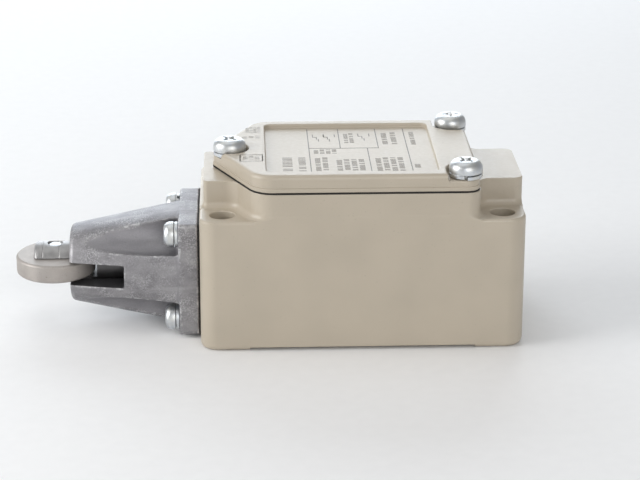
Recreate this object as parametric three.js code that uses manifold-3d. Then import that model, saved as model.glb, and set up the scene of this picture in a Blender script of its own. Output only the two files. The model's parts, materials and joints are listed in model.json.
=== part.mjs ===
// A two-circuit limit switch with a top roller plunger, lying on its back: millimetres, +Z towards
// the cover, -X towards the roller, and the origin under the middle of the outline, on the mounting
// plane. Inside this file the pieces are placed from the centre of the four mounting holes, and the
// last group moves them all to that origin.

import * as THREE from "three";
import { mergeVertices } from "three/addons/utils/BufferGeometryUtils.js";
import Module from "manifold-3d";

const wasm = await Module();
wasm.setup();

// ---- driving dimensions, mm -------------------------------------------------------------------

// Housing
const boltPitchX = 58.7;
const boltPitchY = 30.2;
const boltHoleRadius = 2.6;
const bodyLength = 68.5;
const bodyWidth = 40;
const lugHeight = 28.85;
const housingHeight = 34.7;
const housingCornerHead = 3.5;
const housingCornerConduit = 4;
const endBlockWidth = 20.6;
const endBlockInset = 0.95;
const endBlockCornerHead = 1;
const endBlockCornerConduit = 2;
const blockFilletHead = 3.5;
const blockFilletConduit = 2.8;
const towerCornerConduit = 3;
const towerOverlap = 1;
const footRelief = 0.75;
const footLength = 10.25;
const sideWall = 3.7;
const headWall = 10.45;
const conduitWall = 10.75;
const floorThickness = 5;
const floorUnderThreads = 1.2;
const cavityCorner = 1.5;
const cavityCornerSide = 3;
const coverBossRadius = 4.2;

// Conduit entry, G 1/2
const conduitRadius = 9.35;
const conduitMouthRadius = 10.6;
const conduitMouthDepth = 1.2;
const conduitHeight = 15.2;

// Cover, its seal and its screws
const gasketThickness = 0.35;
const gasketWidth = 2.6;
const gasketCorner = 2;
const gasketScrewRoom = 3;
const gasketSlopeRoom = 5;
const gasketTipHalfWidth = 4;
const coverThickness = 3.7;
const coverHoleClearance = 0.25;
const coverTipGap = 2.75;
const coverEndGap = 10.05;
const coverSlope = 64.8;
const coverSideInset = 0.15;
const coverToBlock = 0.3;
const coverCornerTip = 2;
const coverCornerSide = 5.5;
const coverCornerEnd = 2.8;
const coverStripWidth = 6.9;
const coverStripDrop = 1.45;
const coverSeatRadius = 4;
const labelRecess = 0.9;
const labelWidth = 33.6;
const labelLength = 35.9;
const labelToStrip = 1.5;
const labelCorner = 1;
const coverPocketDepth = 0.9;
const coverPocketInset = 3;
const coverTipScrewInset = 3.8;
const coverScrewInset = 2.95;
const coverScrewEdge = 3.55;

// Screws: thread radius, head radius, head height, thread length below the washer
const coverScrew = { thread: 2, head: 3.5, rise: 2.6, length: 13.5 };
const headScrew = { thread: 1.5, head: 2.75, rise: 2.25, length: 12.5 };
const terminalScrew = { thread: 1.5, head: 2.8, rise: 1.9, length: 6 };
const caseScrew = { thread: 1.5, head: 2.75, rise: 1.8, length: 18.8 };
const groundScrew = { thread: 1.75, head: 3.3, rise: 2.2, length: 5.5 };
const threadClearance = 0.06;
const screwHoleClearance = 0.2;
const washerClearance = 0.15;
const coverWasherThickness = 1;
const headWasherThickness = 0.9;
const smallWasherThickness = 0.8;
const washerSlit = 0.5;

// Pan heads, as shares of the head radius or of its height
const panFlankHeight = 0.5;
const panCrownRadius = 0.75;
const crossDepth = 0.55;
const crossLength = 1.1;
const crossWidth = 0.24;

// Head
const headGasketThickness = 0.35;
const flangeSize = 25;
const flangeThickness = 4.2;
const flangeCorner = 0.6;
const headHeight = 13.2;
const headLength = 27.7;
const headTipRadius = 8.3;
const headRootRadius = 13.3;
const headTipChamfer = 0.5;
const headTipRounding = 0.8;
const headScrewOffset = 9.4;
const scoopRadius = 4.6;
const scoopTipRadius = 4.3;
const scoopLength = 21.5;
const rollerSlotHeight = 5;
const rollerSlotDepth = 11.75;
const bushCounterboreRadius = 6;
const bushThickness = 2.8;
const bushClearance = 0.05;
const sealThickness = 1.9;
const sealClearance = 0.1;
const sealRimClearance = 0.3;
const gasketBoreClearance = 0.6;

// Plunger, roller and springs
const plungerRadius = 4.5;
const slidingClearance = 0.06;
const plungerTipChamfer = 0.8;
const plungerTipRounding = 0.7;
const plungerTipReach = 7.85;
const plungerShoulder = 10.35;
const forkDepth = 14.9;
const forkGap = 4.4;
const stemRadius = 2.6;
const stemHoleClearance = 0.15;
const stemReach = 3.85;
const stemBoreRadius = 1.7;
const stemBoreDepth = 19.5;
const rollerRadius = 8.5;
const rollerThickness = 4;
const rollerChamfer = 0.35;
const rollerSetback = 4.4;
const pinRadius = 1.65;
const pinClearance = 0.05;
const pinPressClearance = 0.02;
const pinRecess = 0.3;
const pushRodRadius = 1.5;
const pushRodInset = 3.3;
const springSeatGap = 0.05;
const springBoreClearance = 0.2;
const springStemClearance = 0.5;
const overtravelSpringClearance = 0.15;
const overtravelSpringWire = 0.55;

// Built-in switch block
const caseLength = 30;
const caseWidth = 25;
const caseHeight = 16;
const caseGap = 5.3;
const caseWall = 3;
const caseRailWidth = 4.5;
const caseFloor = 2.6;
const lidThickness = 1.5;
const lidClearance = 0.1;
const caseScrewInset = 3.2;
const buttonRadius = 2;
const buttonReach = 2.5;
const carrierGap = 1;
const carrierWidth = 5.2;
const carrierHeight = 6.4;
const carrierLength = 18.5;
const windowHeight = 4;
const windowLength = 8.1;
const windowStart = 8.6;
const pegRadius = 0.8;
const pegLength = 1.2;
const springRecessDepth = 1.2;
const springRecessClearance = 0.4;
const contactSpring = { outer: 1.5, inner: 0.9 };
const carrierSpring = { outer: 2, inner: 1.2 };
const bridgeThickness = 0.6;
const bridgeHeight = 3.2;
const bridgeSideGap = 0.8;
const bridgeFreePlay = 1;
const bridgeContactGap = 0.05;
const contactMargin = 0.2;
const contactThickness = 0.8;
const contactRoot = 0.3;
const contactStroke = 1.5;
const terminalThickness = 1;
const terminalLength = 6.6;
const padEdge = 0.4;
const legCarrierGap = 1.6;
const legSlotClearance = 0.2;
const clampPlateShare = 0.8;
const groundBossRadius = 3.7;
const groundBossHeight = 2;
const groundBossGap = 0.8;
const groundBossInset = 8.2;

// Roundness
const roundSegments = 20;
const screwSegments = 12;
const arcSegments = 4;
const noseSegments = 32;
const rollerSegments = 40;

// How far a cutting tool runs past a face, and how far a cone laps one
const past = 1;
const lap = 0.01;

// ---- sizes that follow ------------------------------------------------------------------------

const headFaceX = -bodyLength / 2;
const conduitFaceX = bodyLength / 2;
const cavityStartX = headFaceX + headWall;
const cavityEndX = conduitFaceX - conduitWall;
const cavityHalfWidth = bodyWidth / 2 - sideWall;
const coverBase = housingHeight + gasketThickness;
const coverTop = coverBase + coverThickness;
const coverSeat = coverTop - coverStripDrop;
const coverEndX = conduitFaceX - coverEndGap;
const coverApexX = headFaceX + coverTipGap;
const coverRise = Math.tan(THREE.MathUtils.degToRad(coverSlope));
const coverHalfWidth = bodyWidth / 2 - coverSideInset;
const coverShoulderX = coverApexX + coverHalfWidth / coverRise;
const coverScrewPlaces = [
  [coverApexX + coverTipScrewInset, 0],
  [coverEndX - coverScrewInset, bodyWidth / 2 - coverScrewEdge],
  [coverEndX - coverScrewInset, coverScrewEdge - bodyWidth / 2],
];

const flangeBackX = headFaceX - headGasketThickness;
const flangeFrontX = flangeBackX - flangeThickness;
const headTipX = flangeBackX - headLength;
const headScrewPlaces = [-1, 1].flatMap((y) =>
  [-1, 1].map((z) => [y * headScrewOffset, headHeight + z * headScrewOffset]),
);
const slotRootX = headTipX + rollerSlotDepth;
const sealStartX = flangeBackX - sealThickness;
const bushStartX = sealStartX - bushThickness;

const plungerTipX = headTipX - plungerTipReach;
const shoulderX = headTipX + plungerShoulder;
const stemEndX = headFaceX + stemReach;
const rollerX = plungerTipX + rollerSetback;
const rollerTipX = rollerX - rollerRadius;
const stemBoreEndX = stemEndX - stemBoreDepth;
const pushRodStartX = stemEndX - pushRodInset;

const caseStartX = cavityStartX + caseGap;
const caseEndX = caseStartX + caseLength;
const caseTop = floorThickness + caseHeight;
const lidBase = caseTop - lidThickness;
const chamberHalfWidth = caseWidth / 2 - caseRailWidth;
const chamberStartX = caseStartX + caseWall;
const chamberEndX = caseEndX - caseWall;
const buttonTipX = caseStartX - buttonReach;
const carrierStartX = chamberStartX + carrierGap;
const carrierEndX = carrierStartX + carrierLength;
const windowStartX = carrierStartX + windowStart;
const windowEndX = windowStartX + windowLength;
const bridgeStartX = windowStartX + bridgeFreePlay;
const bridgeEndX = bridgeStartX + bridgeThickness;
const railY = (chamberHalfWidth + caseWidth / 2) / 2;
const bridgeHalf = chamberHalfWidth - bridgeSideGap;
const legInnerY = carrierWidth / 2 + legCarrierGap;
const legY = (legInnerY + bridgeHalf) / 2;
const contactRadius = (bridgeHalf - legInnerY) / 2 - contactMargin;
const closedContactX = bridgeStartX - bridgeContactGap;
const openContactX = bridgeEndX + contactStroke;
const caseScrewPlaces = [
  [caseStartX + caseScrewInset, railY],
  [caseEndX - caseScrewInset, -railY],
];
const groundScrewPlace = [caseEndX + groundBossRadius + groundBossGap, groundBossInset - cavityHalfWidth];

// ---- materials --------------------------------------------------------------------------------

const finish = (color, roughness, metalness) =>
  new THREE.MeshStandardMaterial({ color, roughness, metalness });
const puttyPaint = finish(0xb9b09b, 0.5, 0);
const castAlloy = finish(0x9a9a98, 0.55, 0.85);
const groundSteel = finish(0x8d8d8b, 0.35, 1);
const rollerSteel = finish(0xb5ada4, 0.4, 0.9);
const zincPlate = finish(0xcfd2d6, 0.25, 1);
const springSteel = finish(0x9ea1a4, 0.3, 1);
const blackRubber = finish(0x2b2926, 0.85, 0);
const darkResin = finish(0x2c2a28, 0.6, 0);
const greenResin = finish(0x3f6f5a, 0.55, 0);
const creamResin = finish(0xd8cfb4, 0.5, 0);
const brass = finish(0xc9a45a, 0.3, 1);
const silverAlloy = finish(0xd9d6cf, 0.3, 1);

// ---- solid helpers ----------------------------------------------------------------------------

// A closed three.js geometry as a manifold solid.
function solidOf(geometry) {
  const bare = geometry.clone();
  bare.deleteAttribute("normal");
  bare.deleteAttribute("uv");
  const merged = mergeVertices(bare, 1e-4);
  const index = merged.index.array;
  const kept = [];
  for (let i = 0; i < index.length; i += 3) {
    const [a, b, c] = [index[i], index[i + 1], index[i + 2]];
    if (a !== b && b !== c && c !== a) kept.push(a, b, c);
  }
  return new wasm.Manifold(
    new wasm.Mesh({
      numProp: 3,
      vertProperties: merged.attributes.position.array,
      triVerts: new Uint32Array(kept),
    }),
  );
}

// A manifold solid as a three.js geometry.
function geometryOf(solid) {
  const { vertProperties, triVerts, numProp } = solid.getMesh();
  const positions = new Float32Array((vertProperties.length / numProp) * 3);
  for (let i = 0; i < positions.length / 3; i++) {
    positions.set(vertProperties.subarray(i * numProp, i * numProp + 3), i * 3);
  }
  const geometry = new THREE.BufferGeometry();
  geometry.setAttribute("position", new THREE.BufferAttribute(positions, 3));
  geometry.setIndex(new THREE.BufferAttribute(new Uint32Array(triVerts), 1));
  geometry.computeVertexNormals();
  return geometry;
}

const joined = (...solids) => solids.reduce((whole, next) => whole.add(next));
const cut = (solid, ...tools) => tools.reduce((rest, tool) => rest.subtract(tool), solid);

function box([x0, y0, z0], [x1, y1, z1]) {
  const geometry = new THREE.BoxGeometry(x1 - x0, y1 - y0, z1 - z0);
  return solidOf(geometry.translate((x0 + x1) / 2, (y0 + y1) / 2, (z0 + z1) / 2));
}

// A round bar or cone along X, from x0 to x1.
function barX(x0, x1, y, z, radius, endRadius = radius, segments = roundSegments) {
  const geometry = new THREE.CylinderGeometry(endRadius, radius, x1 - x0, segments);
  return solidOf(geometry.rotateZ(-Math.PI / 2).translate((x0 + x1) / 2, y, z));
}

// A round bar or cone along Z, from z0 to z1.
function barZ(z0, z1, x, y, radius, endRadius = radius, segments = roundSegments) {
  const geometry = new THREE.CylinderGeometry(endRadius, radius, z1 - z0, segments);
  return solidOf(geometry.rotateX(Math.PI / 2).translate(x, y, (z0 + z1) / 2));
}

const tubeX = (x0, x1, y, z, outer, inner) =>
  cut(barX(x0, x1, y, z, outer), barX(x0 - past, x1 + past, y, z, inner));

// A closed outline through corners [x, y, radius], counterclockwise, each one rounded by its radius.
function outline(corners) {
  const points = [];
  corners.forEach(([x, y, radius], i) => {
    const [px, py] = corners[(i + corners.length - 1) % corners.length];
    const [nx, ny] = corners[(i + 1) % corners.length];
    const corner = new THREE.Vector2(x, y);
    const back = new THREE.Vector2(px - x, py - y).normalize();
    const ahead = new THREE.Vector2(nx - x, ny - y).normalize();
    const halfAngle = Math.acos(back.dot(ahead)) / 2;
    const middle = back.clone().add(ahead).normalize();
    const centre = corner.clone().addScaledVector(middle, radius / Math.sin(halfAngle));
    const start = corner.clone().addScaledVector(back, radius / Math.tan(halfAngle)).sub(centre);
    const turn = (Math.PI - 2 * halfAngle) * Math.sign(ahead.cross(back));
    for (let k = 0; k <= arcSegments; k++) {
      points.push(start.clone().rotateAround(new THREE.Vector2(), (turn * k) / arcSegments).add(centre));
    }
  });
  return new THREE.Shape(points);
}

function slab(shape, z0, z1) {
  const geometry = new THREE.ExtrudeGeometry(shape, { depth: z1 - z0, bevelEnabled: false });
  return solidOf(geometry.translate(0, 0, z0));
}

// The mirror image in Y of each corner, in the order that keeps the outline counterclockwise.
const mirrored = (corners) => [...corners, ...corners.map(([x, y, r]) => [x, -y, r]).reverse()];

// ---- housing ----------------------------------------------------------------------------------

function housingBase() {
  const corners = [
    [conduitFaceX, bodyWidth / 2, housingCornerConduit],
    [headFaceX, bodyWidth / 2, housingCornerHead],
  ];
  return slab(outline(mirrored(corners)), 0, lugHeight);
}

// The upper storey: the full width between the mounting lugs and a narrow block at each end.
function housingTower() {
  const blockHalf = endBlockWidth / 2;
  const corners = [
    [conduitFaceX, blockHalf, endBlockCornerConduit],
    [coverEndX + coverToBlock, blockHalf, blockFilletConduit],
    [coverEndX + coverToBlock, coverHalfWidth, towerCornerConduit],
    [coverShoulderX, coverHalfWidth, coverCornerSide],
    [coverApexX + blockHalf / coverRise, blockHalf, blockFilletHead],
    [headFaceX + endBlockInset, blockHalf, endBlockCornerHead],
  ];
  return slab(outline(mirrored(corners)), lugHeight - towerOverlap, housingHeight);
}

function cavityOutline() {
  const inset = sideWall / Math.sin(THREE.MathUtils.degToRad(coverSlope));
  const slopeStart = coverApexX + inset;
  const corners = [
    [cavityEndX, cavityHalfWidth, cavityCorner],
    [slopeStart + cavityHalfWidth / coverRise, cavityHalfWidth, cavityCornerSide],
    [cavityStartX, (cavityStartX - slopeStart) * coverRise, cavityCorner],
  ];
  return outline(mirrored(corners));
}

// The wiring chamber, with the bosses of the two conduit-end cover screws left standing.
function housingCavity() {
  const bosses = coverScrewPlaces
    .slice(1)
    .map(([x, y]) => barZ(floorThickness, housingHeight, x, y, coverBossRadius));
  return cut(slab(cavityOutline(), floorThickness, housingHeight + past), ...bosses);
}

function conduitEntry() {
  const mouthX = conduitFaceX - conduitMouthDepth;
  return joined(
    barX(cavityEndX - past, conduitFaceX + past, 0, conduitHeight, conduitRadius),
    barX(mouthX, conduitFaceX + lap, 0, conduitHeight, conduitRadius, conduitMouthRadius),
  );
}

function lugHoles() {
  const [halfX, halfY] = [boltPitchX / 2, boltPitchY / 2];
  return [-1, 1].flatMap((x) =>
    [-1, 1].map((y) => barZ(-past, lugHeight + past, x * halfX, y * halfY, boltHoleRadius)),
  );
}

function threadHoles() {
  const [groundX, groundY] = groundScrewPlace;
  const groundTop = floorThickness + groundBossHeight + past;
  return [
    ...coverScrewPlaces.map(([x, y]) =>
      barZ(coverSeat - coverScrew.length, housingHeight + past, x, y, coverScrew.thread + threadClearance),
    ),
    ...headScrewPlaces.map(([y, z]) =>
      barX(headFaceX - past, headFaceX + headScrew.length, y, z, headScrew.thread + threadClearance),
    ),
    ...caseScrewPlaces.map(([x, y]) =>
      barZ(floorUnderThreads, floorThickness + past, x, y, caseScrew.thread + threadClearance),
    ),
    barZ(floorUnderThreads, groundTop, groundX, groundY, groundScrew.thread + threadClearance),
  ];
}

function housing() {
  const [groundX, groundY] = groundScrewPlace;
  const bossTop = floorThickness + groundBossHeight;
  const groundBoss = barZ(floorThickness - past, bossTop, groundX, groundY, groundBossRadius);
  const stemHole = barX(
    headFaceX - past,
    cavityStartX + past,
    0,
    headHeight,
    stemRadius + stemHoleClearance,
  );
  const relief = box(
    [headFaceX + footLength, -bodyWidth, -past],
    [conduitFaceX - footLength, bodyWidth, footRelief],
  );
  const shell = cut(joined(housingBase(), housingTower()), housingCavity(), conduitEntry(), relief);
  return cut(joined(shell, groundBoss), stemHole, ...lugHoles(), ...threadHoles());
}

// ---- cover ------------------------------------------------------------------------------------

const coverCorners = () => [
  [coverEndX, coverHalfWidth, coverCornerEnd],
  [coverShoulderX, coverHalfWidth, coverCornerSide],
];

function coverOutline() {
  const upper = coverCorners();
  const lower = upper.map(([x, y, r]) => [x, -y, r]).reverse();
  return outline([...upper, [coverApexX, 0, coverCornerTip], ...lower]);
}

function coverGasket() {
  const inner = [
    [cavityEndX - gasketWidth, cavityHalfWidth - gasketWidth - gasketScrewRoom, gasketCorner],
    [coverShoulderX + gasketWidth + gasketSlopeRoom, cavityHalfWidth - gasketWidth, gasketCorner],
    [cavityStartX + gasketWidth, gasketTipHalfWidth, gasketCorner],
  ];
  const screwHoles = coverScrewPlaces.map(([x, y]) =>
    barZ(housingHeight - past, coverBase + past, x, y, coverScrew.thread + coverHoleClearance),
  );
  const ring = slab(coverOutline(), housingHeight, coverBase);
  const opening = slab(outline(mirrored(inner)), housingHeight - past, coverBase + past);
  return cut(ring, opening, ...screwHoles);
}

// The lowered field for the label.
function labelField(stripX) {
  const endX = stripX - labelToStrip;
  const corners = [
    [endX, labelWidth / 2, labelCorner],
    [endX - labelLength, labelWidth / 2, labelCorner],
  ];
  return slab(outline(mirrored(corners)), coverTop - labelRecess, coverTop + past);
}

// The round seat of the screw at the cover's tip, open towards the head.
function tipSeat() {
  const [x, y] = coverScrewPlaces[0];
  const frontX = x - coverTipScrewInset - past;
  return joined(
    barZ(coverSeat, coverTop + past, x, y, coverSeatRadius),
    box([frontX, -coverSeatRadius, coverSeat], [x, coverSeatRadius, coverTop + past]),
  );
}

function cover() {
  const plate = slab(coverOutline(), coverBase, coverTop);
  const stripX = coverEndX - coverStripWidth;
  const strip = box([stripX, -bodyWidth, coverSeat], [coverEndX + past, bodyWidth, coverTop + past]);
  const holes = coverScrewPlaces.map(([x, y]) =>
    barZ(coverBase - past, coverTop + past, x, y, coverScrew.thread + coverHoleClearance),
  );
  const pocketHalf = labelWidth / 2 - coverPocketInset;
  const pocket = box(
    [coverShoulderX + coverPocketInset, -pocketHalf, coverBase - past],
    [stripX - coverPocketInset, pocketHalf, coverBase + coverPocketDepth],
  );
  return cut(plate, strip, labelField(stripX), tipSeat(), pocket, ...holes);
}

// ---- screws and washers -----------------------------------------------------------------------

// A pan-head screw along +Y of its own frame, its thread below the origin and a cross in its head.
function panScrew({ thread, head, rise, length }) {
  const profile = [
    [0, -length],
    [thread, -length],
    [thread, 0],
    [head, 0],
    [head, rise * panFlankHeight],
    [head * panCrownRadius, rise],
    [0, rise],
  ].map(([r, y]) => new THREE.Vector2(r, y));
  const blank = solidOf(new THREE.LatheGeometry(profile, screwSegments));
  const slots = [0, Math.PI / 2].map((turn) => {
    const slot = new THREE.BoxGeometry(head * crossLength, rise * crossDepth * 2, head * crossWidth);
    return solidOf(slot.rotateY(turn).translate(0, rise, 0));
  });
  return geometryOf(cut(blank, ...slots));
}

// A split spring washer standing on the origin along +Y.
function splitWasher({ thread, head }, thickness) {
  const ring = new THREE.Shape();
  const slit = washerSlit / head;
  ring.absarc(0, 0, head, slit, Math.PI * 2 - slit, false);
  ring.absarc(0, 0, thread + washerClearance, Math.PI * 2 - slit, slit, true);
  const geometry = new THREE.ExtrudeGeometry(ring, {
    depth: thickness,
    bevelEnabled: false,
    curveSegments: screwSegments / 2,
  });
  return geometry.rotateX(-Math.PI / 2);
}

// ---- head -------------------------------------------------------------------------------------

const flangeOutline = () =>
  outline([
    [flangeSize / 2, flangeSize / 2, flangeCorner],
    [-flangeSize / 2, flangeSize / 2, flangeCorner],
    [-flangeSize / 2, -flangeSize / 2, flangeCorner],
    [flangeSize / 2, -flangeSize / 2, flangeCorner],
  ]);

// A plate of the flange's outline, standing square to X.
function flangePlate(x0, x1) {
  const geometry = new THREE.ExtrudeGeometry(flangeOutline(), { depth: x1 - x0, bevelEnabled: false });
  return solidOf(geometry.rotateY(Math.PI / 2).translate(x0, 0, headHeight));
}

// What the chamfer takes off the nose's tip.
function tipChamfer() {
  const frontX = headTipX - past;
  const endX = headTipX + headTipChamfer;
  const frontRadius = headTipRadius - headTipRounding * (1 + past / headTipChamfer);
  const around = headTipRadius + headTipRounding;
  return cut(
    barX(frontX, endX, 0, headHeight, around, around, noseSegments),
    barX(frontX, endX + lap, 0, headHeight, frontRadius, headTipRadius, noseSegments),
  );
}

// The tapered nose: a square pyramid trimmed by a round cone, so it turns from square to round.
function headNose() {
  const length = flangeFrontX - headTipX;
  const corners = [(flangeSize / 2) * Math.SQRT2, headTipRadius * Math.SQRT2];
  const pyramid = new THREE.CylinderGeometry(...corners, length, 4);
  pyramid.rotateY(Math.PI / 4).rotateZ(-Math.PI / 2);
  pyramid.translate((flangeFrontX + headTipX) / 2, 0, headHeight);
  const cone = barX(headTipX, flangeFrontX, 0, headHeight, headTipRadius, headRootRadius, noseSegments);
  return cut(solidOf(pyramid).intersect(cone), tipChamfer());
}

function headBody() {
  const scoops = headScrewPlaces.map(([y, z]) =>
    barX(flangeFrontX - scoopLength, flangeFrontX, y, z, scoopTipRadius, scoopRadius),
  );
  const screwHoles = headScrewPlaces.map(([y, z]) =>
    barX(flangeFrontX - past, flangeBackX + past, y, z, headScrew.thread + screwHoleClearance),
  );
  const bore = barX(headTipX - past, flangeBackX + past, 0, headHeight, plungerRadius + slidingClearance);
  const counterbore = barX(bushStartX, flangeBackX + past, 0, headHeight, bushCounterboreRadius);
  const slot = box(
    [headTipX - past, -flangeSize, headHeight - rollerSlotHeight / 2],
    [slotRootX, flangeSize, headHeight + rollerSlotHeight / 2],
  );
  const nose = cut(headNose(), ...scoops);
  return cut(joined(nose, flangePlate(flangeFrontX, flangeBackX)), slot, bore, counterbore, ...screwHoles);
}

function headGasket() {
  const screwHoles = headScrewPlaces.map(([y, z]) =>
    barX(flangeBackX - past, headFaceX + past, y, z, headScrew.thread + screwHoleClearance),
  );
  const opening = barX(
    flangeBackX - past,
    headFaceX + past,
    0,
    headHeight,
    stemRadius + gasketBoreClearance,
  );
  return cut(flangePlate(flangeBackX, headFaceX), opening, ...screwHoles);
}

// ---- plunger train ----------------------------------------------------------------------------

function plunger() {
  const chamferX = plungerTipX + plungerTipChamfer;
  const tipRadius = plungerRadius - plungerTipRounding;
  const reach = plungerRadius + past;
  const shaft = joined(
    barX(chamferX, shoulderX, 0, headHeight, plungerRadius),
    barX(plungerTipX, chamferX, 0, headHeight, tipRadius, plungerRadius),
    barX(shoulderX - past, stemEndX, 0, headHeight, stemRadius),
  );
  const fork = box(
    [plungerTipX - past, -reach, headHeight - forkGap / 2],
    [plungerTipX + forkDepth, reach, headHeight + forkGap / 2],
  );
  const pinHole = barZ(headHeight - reach, headHeight + reach, rollerX, 0, pinRadius + pinPressClearance);
  const blindBore = barX(stemBoreEndX, stemEndX + past, 0, headHeight, stemBoreRadius);
  return cut(shaft, fork, pinHole, blindBore);
}

function roller() {
  const half = rollerThickness / 2;
  const bore = pinRadius + pinClearance;
  const profile = [
    [bore, -half],
    [rollerRadius - rollerChamfer, -half],
    [rollerRadius, -half + rollerChamfer],
    [rollerRadius, half - rollerChamfer],
    [rollerRadius - rollerChamfer, half],
    [bore, half],
    [bore, -half],
  ].map(([r, y]) => new THREE.Vector2(r, y));
  return new THREE.LatheGeometry(profile, rollerSegments).rotateX(Math.PI / 2);
}

// ---- built-in switch --------------------------------------------------------------------------

function switchCase() {
  const block = box([caseStartX, -caseWidth / 2, floorThickness], [caseEndX, caseWidth / 2, caseTop]);
  const chamber = box(
    [chamberStartX, -chamberHalfWidth, floorThickness + caseFloor],
    [chamberEndX, chamberHalfWidth, caseTop + past],
  );
  const boreRadius = buttonRadius + slidingClearance;
  const buttonBore = barX(caseStartX - past, chamberStartX + past, 0, headHeight, boreRadius);
  const recessEndX = chamberEndX + springRecessDepth;
  const recessRadius = carrierSpring.outer + springRecessClearance;
  const springRecess = barX(chamberEndX - past, recessEndX, 0, headHeight, recessRadius);
  const threadBase = caseTop - terminalScrew.length;
  const threadRadius = terminalScrew.thread + threadClearance;
  const terminalThreads = terminalPlaces().map(([x, side]) =>
    barZ(threadBase, caseTop + past, x, side * railY, threadRadius),
  );
  const mountingHoles = caseScrewPlaces.map(([x, y]) =>
    barZ(floorThickness - past, caseTop + past, x, y, caseScrew.thread + screwHoleClearance),
  );
  return cut(block, chamber, buttonBore, springRecess, ...terminalThreads, ...mountingHoles);
}

// The screw places of the four terminals: [x, side], the normally closed pair first.
function terminalPlaces() {
  const closedX = closedContactX - contactThickness - terminalLength / 2;
  const openX = openContactX + contactThickness + terminalLength / 2;
  return [closedX, openX].flatMap((x) => [-1, 1].map((side) => [x, side]));
}

// Where a terminal's leg comes down into the chamber: its two X faces.
function legSpan(x) {
  const closed = x < bridgeStartX;
  const face = closed ? closedContactX - contactThickness : openContactX + contactThickness;
  const back = closed ? face - terminalThickness : face + terminalThickness;
  return [Math.min(face, back), Math.max(face, back)];
}

// From one distance to another off the middle, on the given side: its two Y values in order.
const spanY = (side, from, to) => (side > 0 ? [from, to] : [-to, -from]);

function switchLid() {
  const plate = box(
    [chamberStartX + lidClearance, lidClearance - chamberHalfWidth, lidBase],
    [chamberEndX - lidClearance, chamberHalfWidth - lidClearance, caseTop],
  );
  const slots = terminalPlaces().map(([x, side]) => {
    const [x0, x1] = legSpan(x);
    const [y0, y1] = spanY(side, legInnerY - legSlotClearance, chamberHalfWidth + past);
    return box(
      [x0 - legSlotClearance, y0, lidBase - past],
      [x1 + legSlotClearance, y1, caseTop + past],
    );
  });
  return cut(plate, ...slots);
}

// A bent brass strip: a pad under the screw, a leg into the chamber and a contact on the leg.
function terminal(x, side) {
  const [legX0, legX1] = legSpan(x);
  const padX0 = Math.min(x - terminalLength / 2, legX0);
  const padX1 = Math.max(x + terminalLength / 2, legX1);
  const [padY0, padY1] = spanY(side, legInnerY, caseWidth / 2 - padEdge);
  const [legY0, legY1] = spanY(side, legInnerY, bridgeHalf);
  const padTop = caseTop + terminalThickness;
  const pad = box([padX0, padY0, caseTop], [padX1, padY1, padTop]);
  const leg = box(
    [legX0, legY0, headHeight - bridgeHeight / 2],
    [legX1, legY1, caseTop + terminalThickness / 2],
  );
  const holeRadius = terminalScrew.thread + washerClearance;
  const hole = barZ(caseTop - past, padTop + past, x, side * railY, holeRadius);
  return cut(joined(pad, leg, fixedContact(x, side)), hole);
}

// The contact button of a terminal, rooted in its leg.
function fixedContact(x, side) {
  const closed = x < bridgeStartX;
  const start = closed ? closedContactX - contactThickness - contactRoot : openContactX;
  const end = closed ? closedContactX : openContactX + contactThickness + contactRoot;
  return barX(start, end, side * legY, headHeight, contactRadius, contactRadius, screwSegments);
}

function clampPlate(x, side) {
  const base = caseTop + terminalThickness;
  const half = terminalScrew.head;
  const middleY = side * railY;
  const plate = box(
    [x - half, middleY - half * clampPlateShare, base],
    [x + half, middleY + half * clampPlateShare, base + smallWasherThickness],
  );
  const holeTop = base + smallWasherThickness + past;
  return cut(plate, barZ(base - past, holeTop, x, middleY, terminalScrew.thread + washerClearance));
}

// The carrier: a button through the case wall, a bar with a window for the bridge, and a spring peg.
function contactCarrier() {
  const button = barX(buttonTipX, carrierStartX + past, 0, headHeight, buttonRadius);
  const bar = box(
    [carrierStartX, -carrierWidth / 2, headHeight - carrierHeight / 2],
    [carrierEndX, carrierWidth / 2, headHeight + carrierHeight / 2],
  );
  const pegEndX = carrierEndX + pegLength;
  const peg = barX(carrierEndX - past, pegEndX, 0, headHeight, pegRadius, pegRadius, screwSegments);
  const window = box(
    [windowStartX, -carrierWidth, headHeight - windowHeight / 2],
    [windowEndX, carrierWidth, headHeight + windowHeight / 2],
  );
  return cut(joined(button, bar, peg), window);
}

function contactBridge() {
  return box(
    [bridgeStartX, -bridgeHalf, headHeight - bridgeHeight / 2],
    [bridgeEndX, bridgeHalf, headHeight + bridgeHeight / 2],
  );
}

// ---- assembly ---------------------------------------------------------------------------------

const assembly = new THREE.Group();

function place(name, shape, material, position = [0, 0, 0], rotation = [0, 0, 0]) {
  const geometry = shape.isBufferGeometry ? shape : geometryOf(shape);
  const mesh = new THREE.Mesh(geometry, material);
  mesh.name = name;
  mesh.position.set(...position);
  mesh.rotation.set(...rotation);
  assembly.add(mesh);
}

const upright = [Math.PI / 2, 0, 0];
const facingHead = [0, 0, Math.PI / 2];

place("housing", housing(), puttyPaint);
place("cover_gasket", coverGasket(), blackRubber);
place("cover", cover(), puttyPaint);
coverScrewPlaces.forEach(([x, y], i) => {
  const washer = splitWasher(coverScrew, coverWasherThickness);
  const washerTop = coverSeat + coverWasherThickness;
  place("cover_washer_" + (i + 1), washer, zincPlate, [x, y, coverSeat], upright);
  place("cover_screw_" + (i + 1), panScrew(coverScrew), zincPlate, [x, y, washerTop], upright);
});

place("head_gasket", headGasket(), blackRubber);
place("head_body", headBody(), castAlloy);
headScrewPlaces.forEach(([y, z], i) => {
  const washer = splitWasher(headScrew, headWasherThickness);
  const washerTop = flangeFrontX - headWasherThickness;
  place("head_washer_" + (i + 1), washer, zincPlate, [flangeFrontX, y, z], facingHead);
  place("head_screw_" + (i + 1), panScrew(headScrew), zincPlate, [washerTop, y, z], facingHead);
});

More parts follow.
